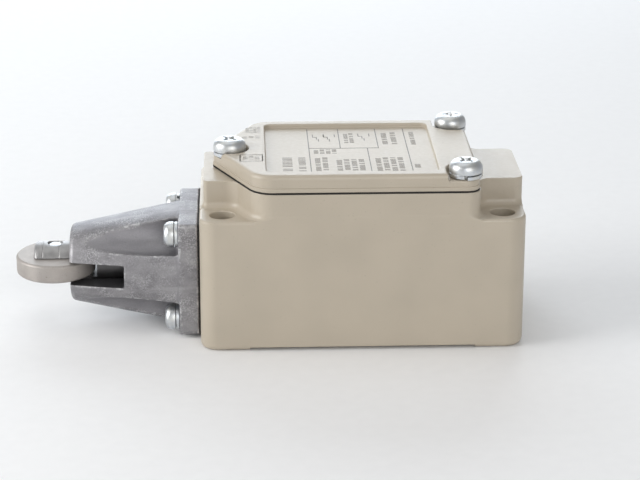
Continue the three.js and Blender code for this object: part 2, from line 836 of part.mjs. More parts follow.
// A sleeve round the plunger's axis.
const sleeve = (x0, x1, outer, inner) => tubeX(x0, x1, 0, headHeight, outer, inner);

place(
  "guide_bush",
  sleeve(
    bushStartX + bushClearance,
    sealStartX,
    bushCounterboreRadius - bushClearance,
    stemRadius + slidingClearance,
  ),
  brass,
);
place(
  "stem_seal",
  sleeve(
    sealStartX + sealClearance,
    flangeBackX - sealClearance,
    bushCounterboreRadius - sealRimClearance,
    stemRadius + sealClearance,
  ),
  blackRubber,
);

place("plunger", plunger(), groundSteel);
const pinReach = plungerRadius - pinRecess;
place(
  "roller_pin",
  barZ(headHeight - pinReach, headHeight + pinReach, rollerX, 0, pinRadius),
  zincPlate,
);
place("roller", roller(), rollerSteel, [rollerX, 0, headHeight]);
place(
  "return_spring",
  sleeve(
    shoulderX + springSeatGap,
    bushStartX - springSeatGap / 2,
    plungerRadius - springBoreClearance,
    stemRadius + springStemClearance,
  ),
  springSteel,
);
const overtravelOuter = stemBoreRadius - overtravelSpringClearance;
place(
  "overtravel_spring",
  sleeve(
    stemBoreEndX + springSeatGap,
    pushRodStartX - springSeatGap,
    overtravelOuter,
    overtravelOuter - overtravelSpringWire,
  ),
  springSteel,
);
place("push_rod", barX(pushRodStartX, buttonTipX, 0, headHeight, pushRodRadius), groundSteel);

place("switch_case", switchCase(), darkResin);
place("switch_lid", switchLid(), greenResin);
caseScrewPlaces.forEach(([x, y], i) => {
  place("case_screw_" + (i + 1), panScrew(caseScrew), zincPlate, [x, y, caseTop], upright);
});
terminalPlaces().forEach(([x, side], i) => {
  const seat = caseTop + terminalThickness + smallWasherThickness;
  place("terminal_" + (i + 1), terminal(x, side), brass);
  place("clamp_plate_" + (i + 1), clampPlate(x, side), zincPlate);
  place("terminal_screw_" + (i + 1), panScrew(terminalScrew), zincPlate, [x, side * railY, seat], upright);
});
place("contact_carrier", contactCarrier(), creamResin);
place("contact_bridge", contactBridge(), silverAlloy);
place(
  "contact_spring",
  sleeve(
    bridgeEndX + springSeatGap,
    windowEndX - springSeatGap,
    contactSpring.outer,
    contactSpring.inner,
  ),
  springSteel,
);
place(
  "carrier_spring",
  sleeve(
    carrierEndX + springSeatGap,
    chamberEndX + springRecessDepth - springSeatGap,
    carrierSpring.outer,
    carrierSpring.inner,
  ),
  springSteel,
);

const [groundX, groundY] = groundScrewPlace;
const groundSeat = floorThickness + groundBossHeight;
const groundWasherTop = groundSeat + smallWasherThickness;
const groundWasher = splitWasher(groundScrew, smallWasherThickness);
place("ground_washer", groundWasher, zincPlate, [groundX, groundY, groundSeat], upright);
place("ground_screw", panScrew(groundScrew), zincPlate, [groundX, groundY, groundWasherTop], upright);

const part = new THREE.Group();
assembly.position.x = -(rollerTipX + conduitFaceX) / 2;
part.add(assembly);

export default part;
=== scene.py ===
"""A limit switch with a top roller plunger: the visual model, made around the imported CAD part.

Lengths are in millimetres in the part's own frame, +X from the roller to the conduit entry and +Z from
the mounting plane to the cover. solid() turns them into metres.
"""

import json
import math
import numpy as np

import bmesh
import bpy
from mathutils import Matrix, Vector


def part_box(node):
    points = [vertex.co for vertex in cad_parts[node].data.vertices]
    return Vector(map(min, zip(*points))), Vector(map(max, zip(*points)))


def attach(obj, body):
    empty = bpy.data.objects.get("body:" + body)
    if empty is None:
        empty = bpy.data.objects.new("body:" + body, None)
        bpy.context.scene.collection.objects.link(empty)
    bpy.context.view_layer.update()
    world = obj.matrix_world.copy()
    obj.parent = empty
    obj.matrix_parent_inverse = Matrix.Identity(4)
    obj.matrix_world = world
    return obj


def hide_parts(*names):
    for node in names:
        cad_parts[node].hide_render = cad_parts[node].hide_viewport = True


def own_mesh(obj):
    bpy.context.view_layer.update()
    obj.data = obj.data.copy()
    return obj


MM = 0.001
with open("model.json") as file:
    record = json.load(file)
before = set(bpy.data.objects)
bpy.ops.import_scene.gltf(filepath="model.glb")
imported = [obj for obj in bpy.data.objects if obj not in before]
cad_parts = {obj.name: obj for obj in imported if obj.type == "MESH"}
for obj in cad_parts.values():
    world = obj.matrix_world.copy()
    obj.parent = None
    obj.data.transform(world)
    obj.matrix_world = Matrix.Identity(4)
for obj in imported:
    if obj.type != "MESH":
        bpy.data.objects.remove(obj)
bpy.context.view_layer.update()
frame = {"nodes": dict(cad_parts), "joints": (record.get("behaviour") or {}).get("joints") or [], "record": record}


def span(node):
    """The lowest and highest corners of a CAD node."""
    low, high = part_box(node)
    return low / MM, high / MM


def mount(name):
    """The place of one of the record's mounts."""
    found = [m for m in frame["record"]["mounts"] if m["name"] == name]
    return Vector(found[0]["pos_m"]) / MM


def joint(name):
    return next(j for j in frame["joints"] if j["name"] == name)


# ---- places taken from the frame -------------------------------------

body_low, body_high = span("housing")
cover_low, cover_high = span("cover")
head_low = span("head_body")[0]
plunger_low, plunger_high = span("plunger")
pin_low, pin_high = span("roller_pin")
roller_low, roller_high = span("roller")
case_top = span("switch_case")[1].z
bush_front = span("guide_bush")[0].x
LUG_TOP = mount("lug_face_1").z
AXIS_HEIGHT = joint("roller_spin")["pos_m"][2] / MM
ROLLER_X = joint("roller_spin")["pos_m"][0] / MM

# ---- sizes -----------------------------------------------------------

BODY_CORNER_HEAD = 3.5
BODY_CORNER_CONDUIT = 4
BODY_DRAFT = 0.0035
FOOT_ROUNDING = 1.2
FOOT_LENGTH = 10.25
FOOT_RELIEF = 0.75
FOOT_RELIEF_ROUNDING = 0.5
LUG_ROUNDING = 0.6
LUG_FILLET = 1.3
LUG_PITCH = (58.7, 30.2)
LUG_HOLE = 2.6
BLOCK_HALF = 10.3
BLOCK_INSET = 0.95
TOWER_ROUNDING = 0.2
TOWER_PAST_COVER = 0.3
COVER_SLOPE = 64.8
COVER_TIP_GAP = 2.75
COVER_CORNER = 2.8
COVER_SHOULDER = 5.5
COVER_ROUNDING = 0.95
COVER_HOLE = 2.25
SIDE_WALL = 3.7
HEAD_WALL = 10.45
CONDUIT_WALL = 10.75
FLOOR = 5
CAVITY_CORNER = 1.5
CAVITY_FILLET = 0.8
BOSS_RADIUS = 4.2
GROUND_BOSS_RADIUS = 3.7
GROUND_BOSS_HEIGHT = 2
COVER_THREAD = 2.06
COVER_THREAD_FLOOR = 23.8
HEAD_THREAD_DEPTH = 12.5
SMALL_THREAD = 1.56
GROUND_THREAD = 1.81
BASE_THREAD_FLOOR = 1.2
STEM_HOLE = 2.75
CONDUIT_HEIGHT = 15.2
CONDUIT_RADIUS = 9.35
CONDUIT_MOUTH = 10.6
CONDUIT_LEAD = 1.2
CONDUIT_PITCH = 1.814
CONDUIT_THREADS = 4.2
SEAT_HEIGHT = 37.3
SEAT_RADIUS = 4
SEAT_INNER = 4.6
LABEL_HALF = 16.8
LABEL_LENGTH = 35.9
LABEL_DEPTH = 0.9
LABEL_TO_END = 8.4
POCKET_HALF = 13.8
POCKET_DEPTH = 0.9
POCKET_INSET = 3
FLANGE_HALF = 12.5
FLANGE_THICKNESS = 4.2
NOSE_TIP = 8.3
NOSE_ROOT = 13.3
SCOOP_OFFSET = 9.4
SCOOP_ROOT = 4.6
SCOOP_TIP = 4.3
SCOOP_LENGTH = 21.5
SLOT_HALF = 2.5
SLOT_DEPTH = 11.75
SLOT_ROUNDING = 0.4
HEAD_SCREW_HOLE = 1.75
PLUNGER_HOLE = 4.6
BUSH_HOLE = 6
BUSH_GAP = 0.05
STEM = 2.6
STEM_BORE = 1.7
STEM_BORE_DEPTH = 19.5
SKIRT_LENGTH = 1.2
FORK_HALF = 2.2
FORK_PAST_ROLLER = 0.65
PIN_HOLE = 1.67
COIL_GAP = 0.05
CROSS_WING = (0.52, 0.11)
CROSS_DEPTH = 0.6
PAST = 1
HAIR = 0.01

slope_rise = math.tan(math.radians(COVER_SLOPE))
cover_half = cover_high.y
label_x = cover_high.x - LABEL_TO_END
apex_x = body_low.x + COVER_TIP_GAP
shoulder_x = apex_x + cover_half / slope_rise
flange_back = span("head_gasket")[0].x
flange_front = flange_back - FLANGE_THICKNESS


# ---- solids ----------------------------------------------------------


def solid(name, points, faces):
    """A mesh object from points in millimetres, its faces turned outwards."""
    mesh = bpy.data.meshes.new(name)
    mesh.from_pydata([Vector(p) * MM for p in points], [], faces)
    shell = bmesh.new()
    shell.from_mesh(mesh)
    bmesh.ops.recalc_face_normals(shell, faces=shell.faces)
    shell.to_mesh(mesh)
    shell.free()
    obj = bpy.data.objects.new(name, mesh)
    bpy.context.scene.collection.objects.link(obj)
    return obj


def loft(name, rings, joined=False):
    """A solid through rings of equally many points, capped at its ends or joined into a loop."""
    count = len(rings[0])
    points = [p for ring in rings for p in ring]
    pairs = [(k, (k + 1) % len(rings)) for k in range(len(rings) - (0 if joined else 1))]
    faces = [
        (a * count + i, a * count + (i + 1) % count, b * count + (i + 1) % count, b * count + i)
        for a, b in pairs
        for i in range(count)
    ]
    if not joined:
        faces.append(tuple(range(count)))
        faces.append(tuple(range(len(points) - count, len(points))))
    return solid(name, points, faces)


def rounded(corners, steps):
    """An outline through corners (x, y, radius), counterclockwise, as (point, outward normal) pairs."""
    pairs = []
    for i, (x, y, radius) in enumerate(corners):
        corner = Vector((x, y))
        back = (Vector(corners[i - 1][:2]) - corner).normalized()
        ahead = (Vector(corners[(i + 1) % len(corners)][:2]) - corner).normalized()
        half = back.angle(ahead) / 2
        centre = corner + (back + ahead).normalized() * (radius / math.sin(half))
        start = corner + back * (radius / math.tan(half)) - centre
        side = 1 if ahead.x * back.y > ahead.y * back.x else -1
        for k in range(steps + 1):
            arm = Matrix.Rotation(side * (math.pi - 2 * half) * k / steps, 2) @ start
            pairs.append((centre + arm, arm.normalized() * side))
    return pairs


def circle(x, y, radius, count=48):
    """A round outline as (point, outward normal) pairs."""
    arms = [Vector((math.cos(t), math.sin(t))) for t in [2 * math.pi * k / count for k in range(count)]]
    return [(Vector((x, y)) + arm * radius, arm) for arm in arms]


def rectangle(x0, x1, y0, y1, radius, steps=4):
    return rounded([(x1, y1, radius), (x0, y1, radius), (x0, y0, radius), (x1, y0, radius)], steps)


def mirrored(corners):
    """Corners with their mirror images in Y, still counterclockwise."""
    return corners + [(x, -y, radius) for x, y, radius in reversed(corners)]


def along(axis, u, v, w):
    """A point from its two places in an outline and its level along an axis."""
    return {"X": (w, u, v), "Y": (u, w, v), "Z": (u, v, w)}[axis]


def stack(name, shape, levels, axis="Z", limit=None):
    """A solid of one outline at several levels: each level is (place, how far the outline grows)."""
    rings = []
    for place, grow in levels:
        ring = [along(axis, *(point + normal * grow), place) for point, normal in shape]
        rings.append([limit(p) for p in ring] if limit else ring)
    return loft(name, rings)


def curve_up(place, radius, side, steps=4):
    """Levels that curve into a plane from below, outwards with side 1 or inwards with side -1."""
    turns = [math.pi / 2 * k / steps for k in range(steps + 1)]
    return [(place - radius * (1 - math.sin(t)), side * radius * (1 - math.cos(t))) for t in turns]


def curve_down(place, radius, side, steps=4):
    """Levels that leave a plane upwards, the mirror image of curve_up."""
    return [(2 * place - level, grow) for level, grow in reversed(curve_up(place, radius, side, steps))]


def straight(low, high):
    return [(low, 0), (high, 0)]


def bar(axis, x, y, radius, low, high, count=48):
    """A plain round cutting tool along an axis."""
    return stack("tool", circle(x, y, radius, count), straight(low, high), axis)


def apply_modifiers(obj):
    graph = bpy.context.evaluated_depsgraph_get()
    mesh = bpy.data.meshes.new_from_object(obj.evaluated_get(graph))
    obj.modifiers.clear()
    obj.data = mesh
    return obj


def combine(obj, operation, tools):
    """Unites the object with the tools, or cuts them from it. The tools are used up."""
    for tool in tools:
        modifier = obj.modifiers.new("boolean", "BOOLEAN")
        modifier.operation = operation
        modifier.solver = "MANIFOLD"
        modifier.object = tool
    apply_modifiers(obj)
    for tool in tools:
        bpy.data.objects.remove(tool)
    return obj


def cut(obj, *tools):
    return combine(obj, "DIFFERENCE", tools)


def unite(obj, *tools):
    return combine(obj, "UNION", tools)


def soften(obj, width, angle):
    """Rounds the edges sharper than an angle."""
    modifier = obj.modifiers.new("bevel", "BEVEL")
    modifier.width = width * MM
    modifier.segments = 2
    modifier.limit_method = "ANGLE"
    modifier.angle_limit = math.radians(angle)
    return apply_modifiers(obj)


def cast(obj, voxel, rounds):
    """Melts a solid's edges as in a die casting, and thins the mesh that this makes to half."""
    remesh = obj.modifiers.new("remesh", "REMESH")
    remesh.mode = "VOXEL"
    remesh.voxel_size = voxel * MM
    smooth = obj.modifiers.new("smooth", "SMOOTH")
    smooth.iterations = rounds
    thin = obj.modifiers.new("thin", "DECIMATE")
    thin.ratio = 0.5
    return apply_modifiers(obj)


def mark_ridges(obj):
    """Stores on each vertex how far, in millimetres, it stands proud of its surroundings."""
    rounds = 6
    mesh = obj.data
    count = len(mesh.vertices)
    places = np.empty(count * 3)
    normals = np.empty(count * 3)
    ends = np.empty(len(mesh.edges) * 2, dtype=np.int32)
    mesh.vertices.foreach_get("co", places)
    mesh.vertices.foreach_get("normal", normals)
    mesh.edges.foreach_get("vertices", ends)
    places, normals, ends = places.reshape(-1, 3), normals.reshape(-1, 3), ends.reshape(-1, 2)
    neighbours = np.bincount(ends.ravel(), minlength=count).clip(1)[:, None]

    def averaged(values):
        total = np.zeros_like(values)
        np.add.at(total, ends[:, 0], values[ends[:, 1]])
        np.add.at(total, ends[:, 1], values[ends[:, 0]])
        return total / neighbours

    smooth = places
    for _ in range(rounds):
        smooth = averaged(smooth)
    proud = averaged(((places - smooth) * normals).sum(axis=1, keepdims=True)) / MM
    mesh.attributes.new("ridge", "FLOAT", "POINT").data.foreach_set("value", proud.ravel())
    return obj


def shade(obj, angle=32):
    """Smooth shading inside each surface, with flat faces kept flat."""
    obj.data.shade_smooth()
    obj.data.set_sharp_from_angle(angle=math.radians(angle))
    weighted = obj.modifiers.new("normals", "WEIGHTED_NORMAL")
    weighted.keep_sharp = True
    return apply_modifiers(obj)


def lathe(name, profile, axis="Z", centre=(0, 0), count=64):
    """A solid turned from (place, radius) pairs round an axis. A radius of 0 closes an end."""
    tiny = 0.001
    rings = []
    for place, radius in profile:
        ring = circle(*centre, max(radius, tiny), count)
        rings.append([along(axis, *point, place) for point, _ in ring])
    return loft(name, rings)


def turned_ring(name, profile, axis, centre, count):
    """A ring turned from a closed run of (place, radius) pairs."""
    rings = []
    for place, radius in profile:
        rings.append([along(axis, *point, place) for point, _ in circle(*centre, radius, count)])
    return loft(name, rings, joined=True)


def helix(name, section, radius, start, rise, turns, centre, axis="X", steps=24, first=0):
    """A wire or ridge along a helix. Its section is (outwards, along) pairs; it climbs rise per turn."""
    rings = []
    count = max(2, round(steps * turns))
    for k in range(count + 1):
        turn = first + 2 * math.pi * turns * k / count
        place = start + rise * turns * k / count
        ring = []
        for out, forward in section:
            u = centre[0] + (radius + out) * math.cos(turn)
            v = centre[1] + (radius + out) * math.sin(turn)
            ring.append(along(axis, u, v, place + forward))
        rings.append(ring)
    return loft(name, rings)


def wire_section(radius):
    """A round section for helix()."""
    sides = 10
    turns = [2 * math.pi * k / sides for k in range(sides)]
    return [(radius * math.cos(t), radius * math.sin(t)) for t in turns]


# ---- materials -------------------------------------------------------


class Look:
    """A material whose nodes all read object coordinates. Sizes of its grain are in millimetres."""

    def __init__(self, name, metallic=0.0, specular=0.5):
        self.material = bpy.data.materials.new(name)
        self.material.use_nodes = True
        self.tree = self.material.node_tree
        self.shader = self.tree.nodes["Principled BSDF"]
        self.shader.inputs["Metallic"].default_value = metallic
        self.shader.inputs["Specular IOR Level"].default_value = specular
        self.place = self.node("ShaderNodeTexCoord").outputs["Object"]

    def node(self, kind, **settings):
        made = self.tree.nodes.new(kind)
        for key, value in settings.items():
            setattr(made, key, value)
        return made

    def link(self, source, target):
        self.tree.links.new(source, target)

    def stretched(self, stretch):
        mapping = self.node("ShaderNodeMapping")
        mapping.inputs["Scale"].default_value = stretch
        self.link(self.place, mapping.inputs["Vector"])
        return mapping.outputs["Vector"]

    def noise(self, size, detail, stretch=(1, 1, 1), distortion=0.0):
        texture = self.node("ShaderNodeTexNoise")
        texture.inputs["Scale"].default_value = 1 / (size * MM)
        texture.inputs["Detail"].default_value = detail
        texture.inputs["Distortion"].default_value = distortion
        self.link(self.stretched(stretch), texture.inputs["Vector"])
        return texture.outputs["Fac"]

    def cells(self, size):
        texture = self.node("ShaderNodeTexVoronoi")
        texture.inputs["Scale"].default_value = 1 / (size * MM)
        self.link(self.place, texture.inputs["Vector"])
        return texture.outputs["Distance"]

    def ranged(self, source, low, high, to_low, to_high):
        ranged = self.node("ShaderNodeMapRange")
        for key, value in zip(("From Min", "From Max", "To Min", "To Max"), (low, high, to_low, to_high)):
            ranged.inputs[key].default_value = value
        self.link(source, ranged.inputs["Value"])
        return ranged.outputs["Result"]

    def blended(self, factor, first, second):
        """A mix of two colours, or of a colour output and a colour, by a factor."""
        mix = self.node("ShaderNodeMix", data_type="RGBA")
        self.link(factor, mix.inputs["Factor"])
        for value, target in ((first, mix.inputs["A"]), (second, mix.inputs["B"])):
            if isinstance(value, tuple):
                target.default_value = (*value, 1)
            else:
                self.link(value, target)
        return mix.outputs["Result"]

    def band(self, axis, low, high, soft=0.1):
        """1 between two places along an axis of the frame, 0 beyond them."""
        parts = self.node("ShaderNodeSeparateXYZ")
        self.link(self.place, parts.inputs["Vector"])
        place = parts.outputs[axis]
        rise = self.ranged(place, (low - soft) * MM, low * MM, 0, 1)
        return self.times(rise, self.ranged(place, high * MM, (high + soft) * MM, 1, 0))

    def times(self, first, second):
        product = self.node("ShaderNodeMath", operation="MULTIPLY")
        self.link(first, product.inputs[0])
        self.link(second, product.inputs[1])
        return product.outputs["Value"]

    def colour(self, source):
        self.link(source, self.shader.inputs["Base Color"])

    def gloss(self, source, low, high):
        """Roughness from low to high over the middle of a noise."""
        self.link(self.ranged(source, 0.3, 0.7, low, high), self.shader.inputs["Roughness"])

    def bumps(self, *layers):
        """Bump layers (source, depth), laid one over the other."""
        normal = None
        for source, depth in layers:
            bump = self.node("ShaderNodeBump")
            bump.inputs["Strength"].default_value = 1
            bump.inputs["Distance"].default_value = depth * MM
            self.link(source, bump.inputs["Height"])
            if normal:
                self.link(normal, bump.inputs["Normal"])
            normal = bump.outputs["Normal"]
        self.link(normal, self.shader.inputs["Normal"])


def tint(colour, share):
    return tuple(c * share for c in colour)


def painted():
    """Putty enamel on a casting: orange peel, faint clouding and a few specks."""
    look = Look("putty_enamel", specular=0.65)
    base = (0.455, 0.398, 0.315)
    cloud = look.noise(14, 2)
    peel = look.noise(0.9, 2)
    grain = look.noise(0.18, 3)
    specks = look.ranged(look.noise(0.5, 1), 0.72, 0.78, 0, 0.35)
    colour = look.blended(look.ranged(cloud, 0.35, 0.65, 0, 1), tint(base, 0.96), tint(base, 1.03))
    colour = look.blended(look.ranged(grain, 0.3, 0.7, 0, 0.08), colour, tint(base, 0.8))
    look.colour(look.blended(specks, colour, tint(base, 0.62)))
    look.gloss(peel, 0.32, 0.44)
    look.bumps((peel, 0.012), (grain, 0.006))
    return look.material


def raw_casting():
    """Tumbled raw die casting: frosted in patches, mottled, with flow marks and scuffed ridges, with painted shade
    in its hollows and in the roller's slot.
    """
    look = Look("raw_die_casting", metallic=0.8)
    flow = look.noise(2.6, 5, stretch=(0.35, 1, 1), distortion=0.6)
    frost = look.noise(0.3, 3)
    ridge = look.node("ShaderNodeAttribute", attribute_name="ridge").outputs["Fac"]
    frost_zones_and_hollow_shade = look.ranged(look.noise(4.5, 2), 0.42, 0.6, 0.3, 1)
    # Fewer frost sparkles in hollows, so that they read darker: painted shade.
    frost_zones_and_hollow_shade = look.times(frost_zones_and_hollow_shade, look.ranged(ridge, -0.008, -0.001, 0.1, 1))
    sparkle = look.times(look.ranged(frost, 0.46, 0.62, 0, 0.8), frost_zones_and_hollow_shade)
    stains = look.ranged(look.noise(1.1, 4, distortion=1.2), 0.6, 0.76, 0, 0.4)
    worn = look.ranged(look.noise(1.7, 5, distortion=0.8), 0.5, 0.62, 0, 0.75)
    scuffs = look.times(look.ranged(ridge, 0.02, 0.07, 0, 1), worn)
    colour = look.blended(look.ranged(flow, 0.34, 0.66, 0, 1), (0.22, 0.214, 0.224), (0.33, 0.323, 0.333))
    colour = look.blended(sparkle, colour, (0.5, 0.495, 0.505))
    colour = look.blended(stains, colour, (0.12, 0.115, 0.12))
    colour = look.blended(scuffs, colour, (0.66, 0.655, 0.66))
    # Painted shade: hollows such as the scoops are blended towards a flat mid grey.
    painted_hollow_shade = look.ranged(ridge, -0.009, -0.001, 0.6, 0)
    colour = look.blended(painted_hollow_shade, colour, (0.29, 0.284, 0.3))
    # Painted shade: the faces inside the roller's slot are darkened almost to black.
    slot_end = head_low.x + SLOT_DEPTH
    slot = look.times(
        look.band("X", head_low.x - 1, slot_end),
        look.band("Z", AXIS_HEIGHT - SLOT_HALF, AXIS_HEIGHT + SLOT_HALF),
    )
    look.colour(look.blended(look.ranged(slot, 0, 1, 0, 0.78), colour, (0.05, 0.05, 0.055)))
    look.gloss(frost, 0.46, 0.66)
    look.bumps((flow, 0.025), (frost, 0.03), (look.cells(0.5), 0.01))
    return look.material


def turned_steel():
    """Ground steel with fine turning lines round the plunger's axis, with painted shade on the part behind the
    roller.
    """
    look = Look("turned_steel", metallic=1)
    lines = look.noise(0.1, 3, stretch=(1, 0.02, 0.02))
    haze = look.noise(1.8, 4)
    colour = look.blended(look.ranged(haze, 0.3, 0.7, 0, 1), (0.31, 0.305, 0.305), (0.44, 0.435, 0.43))
    colour = look.blended(look.ranged(lines, 0.3, 0.7, 0, 0.5), colour, (0.46, 0.45, 0.445))
    # Painted shade: the plunger behind the roller, within the head, is darkened almost to black.
    painted_shade_in_head = look.ranged(look.band("X", roller_high.x + 0.2, plunger_high.x, 1.2), 0, 1, 0, 0.78)
    look.colour(look.blended(painted_shade_in_head, colour, (0.05, 0.048, 0.05)))
    look.gloss(lines, 0.38, 0.55)
    look.bumps((lines, 0.008),)
    return look.material


def satin_steel():
    """The roller's warm satin steel: fine grain, small pits and light scuffs."""
    look = Look("satin_roller_steel", metallic=0.55, specular=0.2)
    grain = look.noise(0.16, 3)
    haze = look.noise(3.2, 3)
    pits = look.ranged(look.noise(0.45, 2), 0.68, 0.76, 0, 0.7)
    colour = look.blended(look.ranged(haze, 0.3, 0.7, 0, 1), (0.35, 0.322, 0.3), (0.44, 0.405, 0.378))
    colour = look.blended(look.ranged(grain, 0.35, 0.7, 0, 0.35), colour, (0.52, 0.49, 0.46))
    look.colour(look.blended(pits, colour, (0.22, 0.19, 0.17)))
    look.gloss(grain, 0.46, 0.6)
    look.bumps((grain, 0.01), (haze, 0.01))
    return look.material


def bright_zinc():
    """Bright zinc plate, softly bright, with a faint blue and yellow bloom."""
    look = Look("bright_zinc", metallic=1)
    bloom = look.noise(1.6, 3, distortion=0.5)
    grain = look.noise(0.12, 2)
    bloomed = look.ranged(bloom, 0.35, 0.65, 0, 1)
    look.colour(look.blended(bloomed, (0.6, 0.63, 0.665), (0.68, 0.685, 0.665)))
    look.gloss(bloom, 0.36, 0.48)
    look.bumps((bloom, 0.02), (grain, 0.004))
    return look.material


def spring_wire():
    """Drawn steel wire with faint drawing marks."""
    look = Look("spring_wire", metallic=1)
    marks = look.noise(0.15, 3)
    look.colour(look.blended(marks, (0.36, 0.37, 0.38), (0.55, 0.56, 0.57)))
    look.gloss(marks, 0.22, 0.36)
    look.bumps((marks, 0.004),)
    return look.material


def seal_rubber():
    """Matt nitrile rubber with a pebbled skin."""
    look = Look("seal_rubber", specular=0.3)
    skin = look.noise(0.2, 3)
    look.colour(look.blended(skin, (0.012, 0.011, 0.01), (0.035, 0.032, 0.03)))
    look.gloss(skin, 0.65, 0.85)
    look.bumps((skin, 0.02),)
    return look.material


def moulded(name, base, gloss=(0.42, 0.58)):
    """Moulded resin with a fine spark-eroded texture and slow flow shading."""
    look = Look(name)
    flow = look.noise(6, 2, distortion=0.8)
    texture = look.noise(0.15, 3)
    look.colour(look.blended(look.ranged(flow, 0.3, 0.7, 0, 1), tint(base, 0.85), tint(base, 1.15)))
    look.gloss(texture, *gloss)
    look.bumps((texture, 0.008),)
    return look.material


def stamped(name, dark, light):
    """Stamped sheet metal with a rolled grain and light tarnish."""
    look = Look(name, metallic=1)
    rolled = look.noise(0.2, 3, stretch=(0.06, 1, 1))
    tarnish = look.noise(2.4, 4)
    colour = look.blended(look.ranged(tarnish, 0.3, 0.7, 0, 1), dark, light)
    look.colour(look.blended(look.ranged(rolled, 0.3, 0.7, 0, 0.3), colour, tint(dark, 0.7)))
    look.gloss(rolled, 0.22, 0.4)
    look.bumps((rolled, 0.006),)
    return look.material


def print_ink():
    """The thin grey print of the label, a little worn."""
    look = Look("label_ink")
    wear = look.noise(0.4, 3)
    look.colour(look.blended(look.ranged(wear, 0.4, 0.7, 0, 0.6), (0.14, 0.13, 0.12), (0.34, 0.3, 0.25)))
    look.gloss(wear, 0.45, 0.6)
    return look.material


looks = {
    "housing_paint": painted(),
    "head_casting": raw_casting(),
    "plunger_steel": turned_steel(),
    "roller_steel": satin_steel(),
    "zinc_plate": bright_zinc(),
    "spring_steel": spring_wire(),
    "seal_rubber": seal_rubber(),
    "case_resin": moulded("black_phenolic", (0.03, 0.027, 0.025)),
    "lid_resin": moulded("green_lid_resin", (0.045, 0.15, 0.1)),
    "carrier_resin": moulded("cream_resin", (0.62, 0.55, 0.4), (0.35, 0.5)),
    "terminal_brass": stamped("terminal_brass", (0.52, 0.35, 0.13), (0.68, 0.5, 0.22)),
    "contact_alloy": stamped("contact_alloy", (0.6, 0.57, 0.52), (0.78, 0.76, 0.72)),
}
ink = print_ink()


def wear(obj, slot, body, *nodes, material=None):
    """Gives a finished piece its material and body, and hides the CAD nodes that it stands for."""
    obj.data.materials.clear()
    obj.data.materials.append(material or looks[slot])
    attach(obj, body)
    if nodes:
        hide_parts(*nodes)
    return obj


# ---- housing ---------------------------------------------------------


def screw_spot(node):
    """The middle of a CAD screw."""
    low, high = span(node)
    return (low + high) / 2


cover_screws = [screw_spot(f"cover_screw_{i}") for i in (1, 2, 3)]
head_screws = [screw_spot(f"head_screw_{i}") for i in (1, 2, 3, 4)]
case_screws = [screw_spot(f"case_screw_{i}") for i in (1, 2)]
ground_spot = screw_spot("ground_screw")


def drafted(levels):
    """Levels whose outline leans in as it rises."""
    return [(place, grow - BODY_DRAFT * place) for place, grow in levels]


def inside_body(point):
    """Keeps a point within the housing's drafted sides, a hair proud of them."""
    x, y, z = point
    lean = BODY_DRAFT * z - HAIR
    half = body_high.y - lean
    x = min(max(x, body_low.x + lean), body_high.x - lean)
    return x, min(max(y, -half), half), z


def housing_base():
    corners = [
        (body_high.x, body_high.y, BODY_CORNER_CONDUIT),
        (body_low.x, body_high.y, BODY_CORNER_HEAD),
    ]
    levels = curve_down(0, FOOT_ROUNDING, -1) + curve_up(LUG_TOP, LUG_ROUNDING, -1)
    return stack("housing_casting", rounded(mirrored(corners), 12), drafted(levels))


def housing_tower():
    """The storey above the lugs, with a fillet where its walls meet them."""
    step_x = cover_high.x + TOWER_PAST_COVER
    corners = [
        (body_high.x, BLOCK_HALF, 2),
        (step_x, BLOCK_HALF, 2.8),
        (step_x, cover_half, 3),
        (shoulder_x, cover_half, COVER_SHOULDER),
        (apex_x + BLOCK_HALF / slope_rise, BLOCK_HALF, 3.5),
        (body_low.x + BLOCK_INSET, BLOCK_HALF, 1),
    ]
    foot = LUG_TOP + 0.4 * HAIR
    levels = [(foot - 1, -0.6), (foot - LUG_ROUNDING, LUG_FILLET)]
    levels += curve_down(foot, LUG_FILLET, 1, 6) + curve_up(body_high.z, TOWER_ROUNDING, -1)
    return stack("tower", rounded(mirrored(corners), 10), levels, limit=inside_body)


def housing_cavity():
    inset = SIDE_WALL / math.sin(math.radians(COVER_SLOPE))
    start = body_low.x + HEAD_WALL
    half = body_high.y - SIDE_WALL
    corners = [
        (body_high.x - CONDUIT_WALL, half, CAVITY_CORNER),
        (apex_x + inset + half / slope_rise, half, 2 * CAVITY_CORNER),
        (start, (start - apex_x - inset) * slope_rise, CAVITY_CORNER),
    ]
    levels = curve_down(FLOOR, CAVITY_FILLET, -1) + [(body_high.z + PAST, 0)]
    room = stack("tool", rounded(mirrored(corners), 6), levels)
    bosses = [bar("Z", s.x, s.y, BOSS_RADIUS, 0, body_high.z + 2 * PAST) for s in cover_screws[1:]]
    ground = bar("Z", ground_spot.x, ground_spot.y, GROUND_BOSS_RADIUS, 0, FLOOR + GROUND_BOSS_HEIGHT)
    return cut(room, *bosses, ground)


def foot_relief():
    """The shallow gap between the feet, rounded at its ends."""
    x0 = body_low.x + FOOT_LENGTH
    x1 = body_high.x - FOOT_LENGTH
    shape = rectangle(x0, x1, -4 * PAST, FOOT_RELIEF, FOOT_RELIEF_ROUNDING)
    return stack("tool", shape, straight(body_low.y - PAST, body_high.y + PAST), "Y")


def conduit_entry():
    """A cutting tool for the bore of the conduit entry, wider at its mouth."""
    face = body_high.x
    mouth = CONDUIT_MOUTH - CONDUIT_RADIUS
    levels = [(face - CONDUIT_WALL - PAST, 0), (face - CONDUIT_LEAD, 0)]
    levels += [(face + HAIR, mouth), (face + PAST, mouth)]
    return stack("tool", circle(0, CONDUIT_HEIGHT, CONDUIT_RADIUS, 96), levels, "X")


